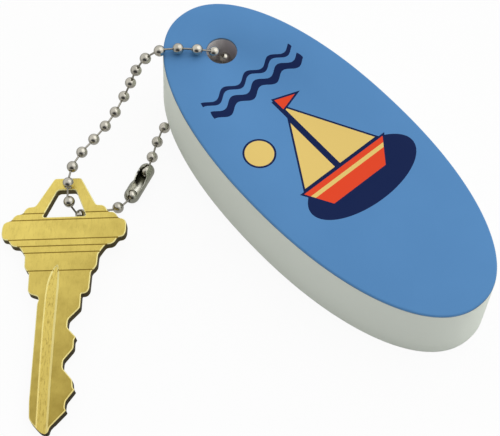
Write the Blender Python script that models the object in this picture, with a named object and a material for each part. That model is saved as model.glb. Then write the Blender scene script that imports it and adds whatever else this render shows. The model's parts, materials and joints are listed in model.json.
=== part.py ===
# Floating key chain: an oval foam float with a printed face sheet, a ball chain through
# the float's hole, the folded coupling that closes the chain, and a brass door key on it.
# It lies as it does on a table: the near end of the float touches the surface and the
# far end is raised by the chain that runs under it. Metres, +Z up.
import math

import bmesh
import bpy
import numpy as np
from mathutils import Matrix, Vector

mm = 0.001

# Float
float_length = 89.0 * mm
float_width = 38.4 * mm
float_thickness = 16.4 * mm
oval_power = 2.15  # 2 is an ellipse, more is squarer
oval_steps = 80
face_thickness = 0.5 * mm
face_gap = 0.1 * mm  # glue line between foam and face sheet
hole_diameter = 6.4 * mm
hole_inset = 12.5 * mm  # hole centre to the far end
hole_steps = 24

# Ball chain
bead_diameter = 2.4 * mm
bead_wall = 0.2 * mm
bead_steps = 10
link_wire = 0.56 * mm
link_hole = 0.84 * mm
link_head = 0.88 * mm
link_reach = 0.74 * mm  # from the bead's inner wall to the middle of the link's head
bead_pitch = 3.93 * mm
rest_gap = 0.15 * mm  # left between touching pieces that move apart

# Coupling
coupling_length = 10.0 * mm
coupling_wall = 0.3 * mm
coupling_play = 0.15 * mm
coupling_steps = 16
slot_width = 1.4 * mm
mouth_width = 2.7 * mm
mouth_length = 3.9 * mm
mouth_floor = 0.35 * mm  # above the coupling's axis
coupling_turn = math.radians(113.4)
coupling_roll = math.radians(2.0)
coupling_spot = (3.28, -4.4)  # its middle from the float's rim, in bead pitches

# Key, seen with the bow at x = 0 and the blade along +x
key_length = 56.8 * mm
key_thickness = 2.0 * mm
bow_bar = 3.1 * mm
bow_top_width = 5.6 * mm
bow_root_width = 14.4 * mm
bow_root = 6.5 * mm
window_top_width = 3.4 * mm
window_root_width = 9.2 * mm
window_length = 6.0 * mm
head_width = 26.0 * mm
head_start = 10.9 * mm
head_end = 13.2 * mm
collar_width = 12.6 * mm
collar_end = 26.8 * mm
blade_back = 4.1 * mm  # from the key's centre line to the blade's plain edge
blade_front = 4.75 * mm  # from the centre line to the uncut front edge
cut_root = 2.5 * mm  # from the centre line to the bottom of the deep cuts
flute_depth = 0.65 * mm
cut_pitch = 9.1 * mm  # from one cut to the next
flute_start = 19.9 * mm
flute_offset = 1.0 * mm  # between the front and back flutes' centre lines
line_width = 0.28 * mm
line_depth = 0.14 * mm
line_gap = 1.55 * mm  # from one cut line to the next
first_line = 8.2 * mm
collar_line = 21.5 * mm
key_turn = math.radians(-42.6)
key_lift = 0.35 * mm  # over the bead that the bow rests on
key_spot = (0.94, -7.25)  # the bow's top from the float's rim, in bead pitches
overcut = 1.0 * mm  # how far a cutter stands out of what it cuts

# Where the chain leaves the float's face, as a direction seen from the hole
exit_turn = math.radians(-125.4)

bead_radius = bead_diameter / 2
float_raise = bead_diameter + rest_gap
float_tilt = math.asin(float_raise / (float_length - hole_inset))
hole_radius = hole_diameter / 2
coupling_radius = bead_radius + coupling_play + coupling_wall
bead_in_coupling = coupling_length / 2 - coupling_radius


def clear_scene():
    for item in list(bpy.data.objects):
        bpy.data.objects.remove(item, do_unlink=True)


def make_material(name, color, roughness, metallic=0.0):
    material = bpy.data.materials.new(name)
    material.use_nodes = True
    shader = material.node_tree.nodes["Principled BSDF"]
    shader.inputs["Base Color"].default_value = (*color, 1.0)
    shader.inputs["Roughness"].default_value = roughness
    shader.inputs["Metallic"].default_value = metallic
    return material


def add_object(name, mesh, material, parent):
    item = bpy.data.objects.new(name, mesh)
    bpy.context.scene.collection.objects.link(item)
    item.parent = parent
    if material:
        mesh.materials.append(material)
    return item


def add_empty(name, parent=None, matrix=None):
    empty = bpy.data.objects.new(name, None)
    bpy.context.scene.collection.objects.link(empty)
    empty.parent = parent
    if matrix is not None:
        empty.matrix_basis = matrix
    return empty


def mesh_from(name, body, smooth_below=None):
    bmesh.ops.recalc_face_normals(body, faces=body.faces[:])
    mesh = bpy.data.meshes.new(name)
    body.to_mesh(mesh)
    body.free()
    if smooth_below:
        mesh.shade_smooth()
        mesh.set_sharp_from_angle(angle=math.radians(smooth_below))
    return mesh


def add_prism(body, outline, bottom, top):
    face = body.faces.new([body.verts.new((x, y, bottom)) for x, y in outline])
    raised = bmesh.ops.extrude_face_region(body, geom=[face])
    moved = [part for part in raised["geom"] if isinstance(part, bmesh.types.BMVert)]
    bmesh.ops.translate(body, verts=moved, vec=(0, 0, top - bottom))


def prism(name, outlines, bottom, top, smooth_below=None):
    body = bmesh.new()
    for outline in outlines:
        add_prism(body, outline, bottom, top)
    return mesh_from(name, body, smooth_below)


def rectangle(x_low, x_high, y_low, y_high):
    return [(x_low, y_low), (x_high, y_low), (x_high, y_high), (x_low, y_high)]


def add_rings(body, rings, steps):
    """Skins a stack of rings, each a centre, an axis, a side direction and a radius."""
    loops = []
    for centre, axis, side, radius in rings:
        if radius == 0:
            loops.append([body.verts.new(centre)])
            continue
        up = axis.cross(side)
        turns = [2 * math.pi * step / steps for step in range(steps)]
        spokes = [side * math.cos(turn) + up * math.sin(turn) for turn in turns]
        loops.append([body.verts.new(centre + spoke * radius) for spoke in spokes])
    for lower, upper in zip(loops, loops[1:]):
        for step in range(steps):
            after = (step + 1) % steps
            if len(lower) == 1:
                corners = (lower[0], upper[after], upper[step])
            elif len(upper) == 1:
                corners = (lower[step], lower[after], upper[0])
            else:
                corners = (lower[step], lower[after], upper[after], upper[step])
            body.faces.new(corners)


def cut(item, name, mesh):
    cutter = add_object(name, mesh, None, item)
    cutter.hide_render = True
    cutter.display_type = "WIRE"
    modifier = item.modifiers.new(name, "BOOLEAN")
    modifier.object = cutter
    modifier.operation = "DIFFERENCE"


# The float's frame has its origin where the hole meets the underside
def oval_outline():
    middle = float_length / 2 - hole_inset
    points = []
    for step in range(oval_steps):
        turn = 2 * math.pi * step / oval_steps
        across = [
            math.copysign(abs(share) ** (2 / oval_power), share)
            for share in (math.cos(turn), math.sin(turn))
        ]
        points.append((middle + float_length / 2 * across[0], float_width / 2 * across[1]))
    return points


def rim_reach(turn):
    """Distance from the hole's centre to the float's rim in one direction."""
    low, high = 0.0, float_length
    for _ in range(40):
        reach = (low + high) / 2
        x = reach * math.cos(turn) - (float_length / 2 - hole_inset)
        y = reach * math.sin(turn)
        share = abs(2 * x / float_length) ** oval_power + abs(2 * y / float_width) ** oval_power
        low, high = (reach, high) if share < 1 else (low, reach)
    return low


def hole_cutter():
    body = bmesh.new()
    axis, side = Vector((0, 0, 1)), Vector((1, 0, 0))
    low, high = Vector((0, 0, -overcut)), Vector((0, 0, float_thickness + overcut))
    rings = [(low, axis, side, 0), (low, axis, side, hole_radius)]
    rings += [(high, axis, side, hole_radius), (high, axis, side, 0)]
    add_rings(body, rings, hole_steps)
    return mesh_from("hole_cutter", body)


def build_float(frame):
    foam_top = float_thickness - face_thickness - face_gap
    foam = make_material("foam", (0.47, 0.48, 0.46), 0.85)
    body = prism("foam_body", [oval_outline()], 0, foam_top, 40)
    cut(add_object("foam_body", body, foam, frame), "foam_hole_cutter", hole_cutter())
    printed = make_material("printed_face", (0.1, 0.27, 0.55), 0.55)
    sheet = prism("face_sheet", [oval_outline()], foam_top + face_gap, float_thickness, 40)
    cut(add_object("face_sheet", sheet, printed, frame), "face_hole_cutter", hole_cutter())


# The key's own shape
def mirrored(half_outline):
    return half_outline + [(x, -y) for x, y in reversed(half_outline)]


def line_places():
    below_head = [head_end + line_gap * step for step in (0.7, 1.7, 2.7)]
    return [first_line, first_line + line_gap] + below_head + [collar_line]


# The outline steps in or out where each cut line meets it
def key_outline():
    head = head_width / 2
    collar = collar_width / 2
    lines = line_places()
    shoulder = [
        (0, bow_top_width / 2),
        (bow_root, bow_root_width / 2 - 0.8 * mm),
        (bow_root + 0.1 * mm, head - 5.2 * mm),
        (bow_root + 0.55 * mm, head - 4.6 * mm),
        (lines[0], head - 4.0 * mm),
        (lines[0] + 0.1 * mm, head - 2.9 * mm),
        (lines[0] + 0.55 * mm, head - 2.3 * mm),
        (lines[1], head - 1.7 * mm),
        (lines[1] + 0.2 * mm, head - 0.9 * mm),
        (head_start, head),
        (head_end, head),
        (head_end + 0.8 * mm, head - 0.6 * mm),
        (lines[2], head - 1.6 * mm),
        (lines[2] + 1.2 * mm, head - 2.4 * mm),
        (lines[3] - 0.1 * mm, head - 3.0 * mm),
        (lines[3], head - 4.1 * mm),
        (lines[4], head - 5.1 * mm),
        (lines[4] + 0.6 * mm, head - 5.4 * mm),
        (lines[5] - 0.9 * mm, head - 5.5 * mm),
        (lines[5] - 0.2 * mm, collar + 0.75 * mm),
        (lines[5], collar + 0.45 * mm),
        (lines[5] + 0.5 * mm, collar + 0.1 * mm),
        (collar_end - 1.0 * mm, collar),
        (collar_end - 0.3 * mm, collar - 0.4 * mm),
        (collar_end, collar - 1.0 * mm),
    ]
    blade_start = collar_end + 0.8 * mm
    front = [
        (collar_end, blade_front),
        (collar_end + 0.35 * cut_pitch, blade_front),
        (collar_end + 0.62 * cut_pitch, cut_root),
        (collar_end + 0.815 * cut_pitch, cut_root),
        (collar_end + 1.055 * cut_pitch, cut_root + 2.0 * mm),
        (collar_end + 1.11 * cut_pitch, cut_root + 1.6 * mm),
        (collar_end + 1.33 * cut_pitch, cut_root + 1.65 * mm),
        (collar_end + 1.6 * cut_pitch, cut_root - 0.25 * mm),
        (collar_end + 1.78 * cut_pitch, cut_root - 0.3 * mm),
        (collar_end + 2.06 * cut_pitch, cut_root + 1.9 * mm),
        (collar_end + 2.28 * cut_pitch, blade_front + 0.25 * mm),
        (collar_end + 2.55 * cut_pitch, cut_root + 0.85 * mm),
        (collar_end + 2.76 * cut_pitch, cut_root + 1.2 * mm),
    ]
    tip = [
        (key_length - 1.4 * mm, 0.7 * mm),
        (key_length - 0.3 * mm, 0.6 * mm),
        (key_length, -0.2 * mm),
        (key_length - 0.3 * mm, -1.0 * mm),
        (key_length - 1.1 * mm, -1.8 * mm),
        (key_length - 2.9 * mm, -3.3 * mm),
    ]
    back = [(key_length - 6.0 * mm, -blade_back), (blade_start, -blade_back)]
    lower_half = [(x, -y) for x, y in reversed(shoulder)]
    return shoulder + front + tip + back + lower_half


def window_outline():
    bottom = bow_bar + window_length
    return mirrored([(bow_bar, window_top_width / 2), (bottom, window_root_width / 2)])


def flute_outlines(shift):
    end = key_length + overcut
    outline = [
        (flute_start, -0.5 * mm),
        (flute_start + 1.0 * mm, -1.4 * mm),
        (flute_start + 4.4 * mm, -2.4 * mm),
        (flute_start + 14.0 * mm, -2.6 * mm),
        (end, -2.05 * mm),
        (end, 0.5 * mm),
        (flute_start + 15.0 * mm, 0.1 * mm),
        (flute_start + 1.8 * mm, -0.1 * mm),
    ]
    return [[(x, y + shift) for x, y in outline]]


def line_outlines():
    reach = head_width / 2 + overcut
    return [rectangle(x, x + line_width, -reach, reach) for x in line_places()]


def build_key(pivot):
    brass = make_material("brass", (0.58, 0.42, 0.12), 0.35, 1.0)
    body = prism("door_key", [key_outline()], 0, key_thickness)
    key = add_object("door_key", body, brass, pivot)
    top = key_thickness
    window = prism("window", [window_outline()], -overcut, top + overcut)
    cut(key, "key_window_cutter", window)
    front = prism("front_flute", flute_outlines(0), top - flute_depth, top + overcut)
    cut(key, "key_front_flute_cutter", front)
    back = prism("back_flute", flute_outlines(flute_offset), -overcut, flute_depth)
    cut(key, "key_back_flute_cutter", back)
    lines = prism("lines", line_outlines(), top - line_depth, top + overcut)
    cut(key, "key_lines_cutter", lines)
    return key


# How the key lies: on its tip, on one corner of its head and on a bead under its bow
def key_frame(spot):
    tip = Vector((key_length - 1.1 * mm, -1.8 * mm, 0))
    corner = Vector((head_end, -head_width / 2, 0))
    crossing = Vector((bow_root - 0.4 * mm, bow_root_width / 2 - 0.7 * mm, 0))
    along = (corner - tip).normalized()
    reach = along.cross(crossing - tip).length
    lean = math.asin((bead_diameter + key_lift) / reach)
    turned = Matrix.Rotation(key_turn, 4, "Z") @ Matrix.Rotation(-lean, 4, along)
    lowest = min((turned @ Vector((x, y, 0))).z for x, y in key_outline())
    return Matrix.Translation(Vector((spot[0], spot[1], -lowest))) @ turned


def capsule_mesh(name, radius, half):
    """A round bar with ball ends, along x."""
    body = bmesh.new()
    axis, side = Vector((1, 0, 0)), Vector((0, 1, 0))
    rings = [(axis * (-half - radius), axis, side, 0)]
    for end in (-1, 1):
        for turn in (30, 60, 90)[::-end]:
            out, across = math.cos(math.radians(turn)), math.sin(math.radians(turn))
            rings.append((axis * end * (half + radius * out), axis, side, radius * across))
    rings.append((axis * (half + radius), axis, side, 0))
    add_rings(body, rings, coupling_steps)
    return mesh_from(name, body, 40)


def slot_mesh():
    """The slot along the coupling's top, with a round floor on the coupling's axis."""
    radius, top = slot_width / 2, coupling_radius + overcut
    outline = [(radius, top), (-radius, top)]
    for step in range(9):
        turn = math.pi * (1 + step / 8)
        outline.append((radius * math.cos(turn), radius * math.sin(turn)))
    reach = coupling_length / 2 + overcut
    mesh = prism("slot", [outline], -reach, reach)
    mesh.transform(Matrix.Rotation(math.pi / 2, 4, "Y") @ Matrix.Rotation(math.pi / 2, 4, "Z"))
    return mesh


def mouth_mesh():
    half = mouth_width / 2
    outline = []
    for end, start in ((0, -math.pi / 2), (-mouth_length, math.pi / 2)):
        for step in range(7):
            turn = start + math.pi * step / 6
            x = end + half * 0.5 * math.cos(turn)
            outline.append((x, half * math.sin(turn)))
    return prism("mouth", [outline], mouth_floor, coupling_radius + overcut)


def build_coupling(pivot):
    nickel = make_material("coupling_nickel", (0.6, 0.57, 0.52), 0.25, 1.0)
    shell = capsule_mesh("coupling", coupling_radius, bead_in_coupling)
    coupling = add_object("coupling", shell, nickel, pivot)
    inner = capsule_mesh("inner", coupling_radius - coupling_wall, bead_in_coupling)
    cut(coupling, "coupling_inner_cutter", inner)
    cut(coupling, "coupling_slot_cutter", slot_mesh())
    cut(coupling, "coupling_mouth_cutter", mouth_mesh())


def coupling_frame(centre):
    spot = Vector((centre[0], centre[1], coupling_radius))
    turned = Matrix.Rotation(coupling_turn, 4, "Z") @ Matrix.Rotation(coupling_roll, 4, "X")
    return Matrix.Translation(spot) @ turned


# The chain's way round: from the coupling under the float, up its hole, over its face,
# down past the rim, over the key's bow bar and back under it to the coupling. Each leg
# ends at a bead whose place is set by what it bears on.
def chain_legs(tilted, rim, key_at, coupling_at):
    table = bead_radius
    face = float_thickness + bead_radius + rest_gap
    reach = rim.length
    start = coupling_at @ Vector((bead_in_coupling, 0, 0))
    end = coupling_at @ Vector((-bead_in_coupling, 0, 0))
    over_bar = key_at @ Vector((0.63 * bow_bar, 0.5 * mm, key_thickness + bead_radius + rest_gap))
    in_window = key_at @ Vector((bow_bar + 0.39 * window_length, 0.6 * mm, 0.87 * key_thickness))
    foot = Vector((0, 0.55 * bead_radius - hole_radius, 1.15 * table))
    drop = (tilted @ Vector((0, 0, face))).z - over_bar.z

    def on_table(x, y):
        return Vector((rim.x + x * bead_pitch, rim.y + y * bead_pitch, table))

    def hanging(x, y, share):
        height = over_bar.z + share * drop
        return Vector((rim.x + x * bead_pitch, rim.y + y * bead_pitch, height))

    def in_hole(x, y, share):
        return tilted @ Vector((x * hole_radius, y * hole_radius, share * float_thickness))

    def on_face(x, y, lower=0.0):
        return tilted @ Vector((x * reach, y * reach, face - lower * bead_radius))

    return start, [
        [
            on_table(2.39, -2.79),
            on_table(1.82, -1.97),
            on_table(1.36, -1.08),
            on_table(1.42, -0.09),
            on_table(1.65, 0.89),
            foot,
        ],
        [
            in_hole(0.07, 0.02, 0.1),
            in_hole(0.17, 0.37, 0.33),
            in_hole(0.17, 0.4, 0.57),
            in_hole(0.07, 0.24, 0.81),
            in_hole(-0.23, -0.44, 1.0),
        ],
        [on_face(-0.224, -0.359)],
        [on_face(-0.443, -0.595), on_face(-0.622, -0.858, 0.2)],
        [
            hanging(-0.45, -0.74, 0.83),
            hanging(-0.66, -1.25, 0.605),
            hanging(-0.76, -1.6, 0.355),
            hanging(-0.78, -2.1, 0.126),
            hanging(-0.43, -3.0, 0.06),
            hanging(-0.11, -3.94, 0.042),
            hanging(0.13, -4.91, 0.032),
            hanging(0.34, -5.89, 0.023),
            hanging(0.71, -6.82, 0.012),
            over_bar,
        ],
        [in_window, on_table(2.75, -7.94), on_table(3.2, -7.06), on_table(3.67, -6.17), end],
    ]


def smooth_curve(points, steps):
    """Centripetal Catmull-Rom curve through the points."""
    raw = [np.array(point) for point in points]
    raw = [2 * raw[0] - raw[1]] + raw + [2 * raw[-1] - raw[-2]]
    curve = []
    for a, b, c, d in zip(raw, raw[1:], raw[2:], raw[3:]):
        times = [0.0]
        for first, second in ((a, b), (b, c), (c, d)):
            times.append(times[-1] + math.sqrt(np.linalg.norm(second - first)))
        t0, t1, t2, t3 = times
        for t in np.linspace(t1, t2, steps, endpoint=False):
            ab = (a * (t1 - t) + b * (t - t0)) / (t1 - t0)
            bc = (b * (t2 - t) + c * (t - t1)) / (t2 - t1)
            cd = (c * (t3 - t) + d * (t - t2)) / (t3 - t2)
            abc = (ab * (t2 - t) + bc * (t - t0)) / (t2 - t0)
            bcd = (bc * (t3 - t) + cd * (t - t1)) / (t3 - t1)
            curve.append((abc * (t2 - t) + bcd * (t - t1)) / (t2 - t1))
    curve.append(raw[-2])
    return np.array(curve)


def bead_centres(start, legs):
    """A bead at the start and at each leg's end, and the rest evenly between them."""
    steps = 24
    curve = smooth_curve([start] + [point for leg in legs for point in leg], steps)
    walked = np.concatenate([[0], np.cumsum(np.linalg.norm(np.diff(curve, axis=0), axis=1))])
    stops = [0.0]
    mark = 0
    for leg in legs:
        mark += steps * len(leg)
        count = max(1, round((walked[mark] - stops[-1]) / bead_pitch))
        stops += list(np.linspace(stops[-1], walked[mark], count + 1)[1:])
    return [Vector([np.interp(stop, walked, curve[:, k]) for k in range(3)]) for stop in stops]


def bead_axes(centres, coupling_axis):
    axes = [coupling_axis]
    for before, after in zip(centres, centres[2:]):
        axes.append((after - before).normalized())
    return axes + [coupling_axis]


def ball_rings(centre, axis, side, radius, turns):
    rings = []
    for turn in turns:
        place = centre - axis * radius * math.cos(turn)
        rings.append((place, axis, side, radius * math.sin(turn)))
    return rings


def bead_mesh(name, centre, axis, next_centre, next_axis):
    """A hollow bead, open where the last link comes in, and its own link to the next bead."""
    side = axis.orthogonal().normalized()
    inside = bead_radius - bead_wall
    inner_mouth = math.asin(link_hole / 2 / inside)
    outer_mouth = math.asin(link_hole / 2 / bead_radius)
    rings = [(centre + axis * inside, axis, side, 0)]
    hollow = [math.radians(turn) for turn in (150, 115, 80, 50)]
    rings += ball_rings(centre, axis, side, inside, hollow + [inner_mouth])
    rings += ball_rings(centre, axis, side, bead_radius, [outer_mouth])
    rings += ball_rings(centre, axis, side, bead_radius, [math.radians(t) for t in (48, 75, 105, 135)])
    if next_centre is None:
        rings.append((centre + axis * bead_radius, axis, side, 0))
    else:
        out = math.pi - math.asin(link_wire / bead_diameter)
        rings += ball_rings(centre, axis, side, bead_radius, [out])
        start = centre + axis * bead_radius
        wall = next_centre - next_axis * inside
        along = (wall - start).normalized()
        across = axis.rotation_difference(along) @ side
        head = wall + along * link_reach
        ball, wire = link_head / 2, link_wire / 2
        neck = math.asin(wire / ball)
        rings += ball_rings(head, along, across, ball, [neck, math.pi / 2, math.radians(140)])
        rings.append((head + along * ball, along, across, 0))
    body = bmesh.new()
    add_rings(body, rings, bead_steps)
    return mesh_from(name, body, 60)


def build_chain(pivot, centres, axes):
    nickel = make_material("chain_nickel", (0.66, 0.63, 0.57), 0.18, 1.0)
    to_local = pivot.matrix_basis.inverted()
    for number, (centre, axis) in enumerate(zip(centres, axes), 1):
        last = number == len(centres)
        after = None if last else centres[number]
        after_axis = None if last else axes[number]
        name = f"bead_{number:02d}"
        mesh = bead_mesh(name, centre, axis, after, after_axis)
        mesh.transform(to_local)
        add_object(name, mesh, nickel, pivot)


def main():
    clear_scene()
    placement = add_empty("placement")
    tilted = Matrix.Translation((0, 0, float_raise)) @ Matrix.Rotation(float_tilt, 4, "Y")
    build_float(add_empty("float_frame", placement, tilted))
    reach = rim_reach(exit_turn)
    rim = Vector((reach * math.cos(exit_turn), reach * math.sin(exit_turn), 0))
    key_at = key_frame(rim + bead_pitch * Vector((*key_spot, 0)))
    coupling_at = coupling_frame(rim + bead_pitch * Vector((*coupling_spot, 0)))
    key_pivot = key_at @ Matrix.Translation((bow_bar, 0, 0))
    pivot = add_empty("key_pivot", placement, key_pivot)
    build_key(pivot).location = (-bow_bar, 0, 0)
    build_coupling(add_empty("coupling_pivot", placement, coupling_at))
    centres = bead_centres(*chain_legs(tilted, rim, key_at, coupling_at))
    axes = bead_axes(centres, coupling_at.to_3x3() @ Vector((1, 0, 0)))
    build_chain(add_empty("chain_pivot", placement, tilted), centres, axes)
    centre_on_origin(placement)


def centre_on_origin(placement):
    bpy.context.view_layer.update()
    graph = bpy.context.evaluated_depsgraph_get()
    corners = []
    for item in bpy.data.objects:
        if item.type == "MESH" and not item.hide_render:
            done = item.evaluated_get(graph)
            corners += [done.matrix_world @ vertex.co for vertex in done.data.vertices]
    spans = [(min(c[k] for c in corners), max(c[k] for c in corners)) for k in range(3)]
    placement.location = (-sum(spans[0]) / 2, -sum(spans[1]) / 2, -spans[2][0])
    bpy.context.view_layer.update()


main()
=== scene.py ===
import json
import math

import bmesh
import bpy
import numpy as np
from mathutils import Matrix, Vector


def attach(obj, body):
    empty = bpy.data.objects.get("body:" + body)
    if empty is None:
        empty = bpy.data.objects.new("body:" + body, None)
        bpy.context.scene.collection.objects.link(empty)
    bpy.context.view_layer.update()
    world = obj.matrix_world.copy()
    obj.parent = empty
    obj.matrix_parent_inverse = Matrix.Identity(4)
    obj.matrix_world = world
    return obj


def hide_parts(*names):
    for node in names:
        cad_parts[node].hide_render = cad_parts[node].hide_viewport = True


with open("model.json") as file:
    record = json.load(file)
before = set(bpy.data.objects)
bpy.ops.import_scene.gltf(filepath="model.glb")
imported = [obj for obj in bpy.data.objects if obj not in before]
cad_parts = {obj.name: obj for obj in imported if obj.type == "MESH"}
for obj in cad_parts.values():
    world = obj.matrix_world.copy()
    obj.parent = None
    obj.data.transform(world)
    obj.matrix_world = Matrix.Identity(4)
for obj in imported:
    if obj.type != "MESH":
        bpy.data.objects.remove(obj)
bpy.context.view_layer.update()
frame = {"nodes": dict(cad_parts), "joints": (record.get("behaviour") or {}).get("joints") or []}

mm = 0.001
white = (1, 1, 1, 1)
joints = {joint["name"]: joint for joint in frame["joints"]}


# Small helpers for meshes

def makeObject(name, mesh, materials=()):
    item = bpy.data.objects.new(name, mesh)
    bpy.context.scene.collection.objects.link(item)
    for material in materials:
        mesh.materials.append(material)
    return item


def bodyObject(name, body, materials=()):
    bmesh.ops.recalc_face_normals(body, faces=body.faces[:])
    mesh = bpy.data.meshes.new(name)
    body.to_mesh(mesh)
    body.free()
    return makeObject(name, mesh, materials)


def removeObject(item):
    bpy.data.objects.remove(item, do_unlink=True)


def shadeMesh(mesh, sharpAngle):
    mesh.shade_smooth()
    mesh.set_sharp_from_angle(angle=math.radians(sharpAngle))


def finishMesh(item, name, sharpAngle):
    graph = bpy.context.evaluated_depsgraph_get()
    done = bpy.data.meshes.new_from_object(item.evaluated_get(graph))
    done.name = name
    item.modifiers.clear()
    item.data = done
    shadeMesh(done, sharpAngle)


def addRing(body, points):
    return [body.verts.new(point) for point in points]


def bridgeRings(body, rings, slot=0):
    count = len(rings[0])
    for lower, upper in zip(rings, rings[1:]):
        for step in range(count):
            after = (step + 1) % count
            face = body.faces.new((lower[step], lower[after], upper[after], upper[step]))
            face.material_index = slot


def cappedRings(name, outlines):
    body = bmesh.new()
    rings = [addRing(body, points) for points in outlines]
    bridgeRings(body, rings)
    body.faces.new(rings[0])
    body.faces.new(rings[-1])
    return bodyObject(name, body)


def turnsRound(count):
    return [2 * math.pi * step / count for step in range(count)]


# Colours are written as a picture shows them, from 0 to 255
def srgb(red, green, blue):
    parts = [value / 255 for value in (red, green, blue)]
    return [v / 12.92 if v <= 0.04045 else ((v + 0.055) / 1.055) ** 2.4 for v in parts] + [1.0]


def darker(colour, share):
    return [part * share for part in colour[:3]] + [1.0]


# Small helpers for materials

def makeMaterial(name, colour, roughness, metallic=0.0):
    material = bpy.data.materials.new(name)
    material.use_nodes = True
    shader = material.node_tree.nodes["Principled BSDF"]
    shader.inputs["Base Color"].default_value = colour
    shader.inputs["Roughness"].default_value = roughness
    shader.inputs["Metallic"].default_value = metallic
    return material, material.node_tree, shader


def setSocket(tree, socket, value):
    if isinstance(value, bpy.types.NodeSocket):
        tree.links.new(value, socket)
    else:
        socket.default_value = value


def addNode(tree, kind, settings=None, **inputs):
    node = tree.nodes.new(kind)
    for key, value in (settings or {}).items():
        setattr(node, key, value)
    for key, value in inputs.items():
        setSocket(tree, node.inputs[key.replace("_", " ")], value)
    return node


def calc(tree, operation, *values):
    node = tree.nodes.new("ShaderNodeMath")
    node.operation = operation
    for socket, value in zip(node.inputs, values):
        setSocket(tree, socket, value)
    return node.outputs[0]


def calcVector(tree, operation, *values, output=0):
    node = tree.nodes.new("ShaderNodeVectorMath")
    node.operation = operation
    for socket, value in zip(node.inputs, values):
        setSocket(tree, socket, value)
    return node.outputs[output]


def scaleVector(tree, vector, factor):
    node = addNode(
        tree, "ShaderNodeVectorMath", {"operation": "SCALE"}, Vector=vector, Scale=factor
    )
    return node.outputs[0]


def splitPlace(tree, place):
    return addNode(tree, "ShaderNodeSeparateXYZ", None, Vector=place).outputs[:]


def mixColour(tree, factor, first, second):
    node = tree.nodes.new("ShaderNodeMix")
    node.data_type = "RGBA"
    setSocket(tree, node.inputs[0], factor)
    setSocket(tree, node.inputs[6], first)
    setSocket(tree, node.inputs[7], second)
    return node.outputs[2]


def remap(tree, value, low, high, newLow=0.0, newHigh=1.0):
    node = tree.nodes.new("ShaderNodeMapRange")
    for socket, number in zip(node.inputs, (value, low, high, newLow, newHigh)):
        setSocket(tree, socket, number)
    return node.outputs[0]


def objectPlace(tree, matrix=None, unit=1.0):
    place = tree.nodes.new("ShaderNodeTexCoord").outputs["Object"]
    if matrix is None:
        return place
    node = tree.nodes.new("ShaderNodeMapping")
    node.vector_type = "TEXTURE"
    node.inputs["Location"].default_value = matrix.translation
    node.inputs["Rotation"].default_value = matrix.to_euler()
    node.inputs["Scale"].default_value = (unit, unit, unit)
    tree.links.new(place, node.inputs["Vector"])
    return node.outputs[0]


def noise(tree, place, scale, detail=2.0, roughness=0.5):
    node = addNode(tree, "ShaderNodeTexNoise", None, Vector=place, Scale=scale, Detail=detail)
    node.inputs["Roughness"].default_value = roughness
    return node.outputs["Fac"]


def addBump(tree, shader, height, distance, strength=1.0):
    bump = addNode(
        tree, "ShaderNodeBump", None, Height=height, Distance=distance, Strength=strength
    )
    tree.links.new(bump.outputs[0], shader.inputs["Normal"])


# Camera, at the photograph's place

view = {
    "place": (0.1252, -0.1056, 0.3031),
    "right": (0.6568, 0.7539, 0.0156),
    "up": (-0.6557, 0.5607, 0.5056),
    "lens": 121.13,
    "sensor": 36,
    "nearest": 0.01,
}


def makeCamera():
    camera = bpy.data.objects.new("camera", bpy.data.cameras.new("camera"))
    bpy.context.scene.collection.objects.link(camera)
    right = Vector(view["right"]).normalized()
    back = right.cross(Vector(view["up"])).normalized()
    turned = Matrix((right, back.cross(right), back)).transposed().to_4x4()
    camera.matrix_world = Matrix.Translation(view["place"]) @ turned
    camera.data.lens = view["lens"]
    camera.data.sensor_width = view["sensor"]
    camera.data.clip_start = view["nearest"]
    bpy.context.scene.camera = camera


makeCamera()
print("camera set")

# Float: its frame has the origin on the hole's axis at the underside, +x along the float

floatSizes = {
    "length": 89.0 * mm,
    "width": 38.4 * mm,
    "thickness": 16.4 * mm,
    "power": 2.15,  # an ellipse has 2
    "sheet": 0.5 * mm,
    "hole": 6.4 * mm,
    "inset": 12.5 * mm,  # from the float's end to the hole's axis
    "steps": 256,
    "glueGap": 0.01 * mm,  # left free on each side of the glue line
    "cutEdge": 0.25 * mm,  # rounding at the foam's foot, then at its top
    "foamTopEdge": 0.06 * mm,
    "boreRim": 0.05 * mm,  # chamfers at the top and the foot of the hole
    "boreFoot": 0.2 * mm,
    "softEdge": 0.45 * mm,  # rounding of the sheet's outer edge, and how far it is set back
    "setBack": 0.05 * mm,
    "holeLip": ((0.12, 0.0), (0.03, 0.05), (0.0, 0.12)),  # mm out from the hole, mm down
    "sharpAngle": 40,
}


def floatFrame():
    swing = joints["chain_swing"]
    up = Vector(swing["axis"]).normalized()
    side = Vector((0, 1, 0))
    turned = Matrix((side.cross(up), side, up)).transposed().to_4x4()
    return Matrix.Translation(swing["pos_m"]) @ turned


floatAt = floatFrame()


def ovalRing(body, inward, height):
    s = floatSizes
    middle = s["length"] / 2 - s["inset"]
    halfLength, halfWidth = s["length"] / 2 - inward, s["width"] / 2 - inward
    points = []
    for turn in turnsRound(s["steps"]):
        along, across = (
            math.copysign(abs(share) ** (2 / s["power"]), share)
            for share in (math.cos(turn), math.sin(turn))
        )
        place = Vector((middle + halfLength * along, halfWidth * across, height))
        points.append(floatAt @ place)
    return addRing(body, points)


def holeRing(body, outward, height):
    reach = floatSizes["hole"] / 2 + outward
    points = [
        floatAt @ Vector((reach * math.cos(turn), reach * math.sin(turn), height))
        for turn in turnsRound(floatSizes["steps"])
    ]
    return addRing(body, points)


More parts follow.
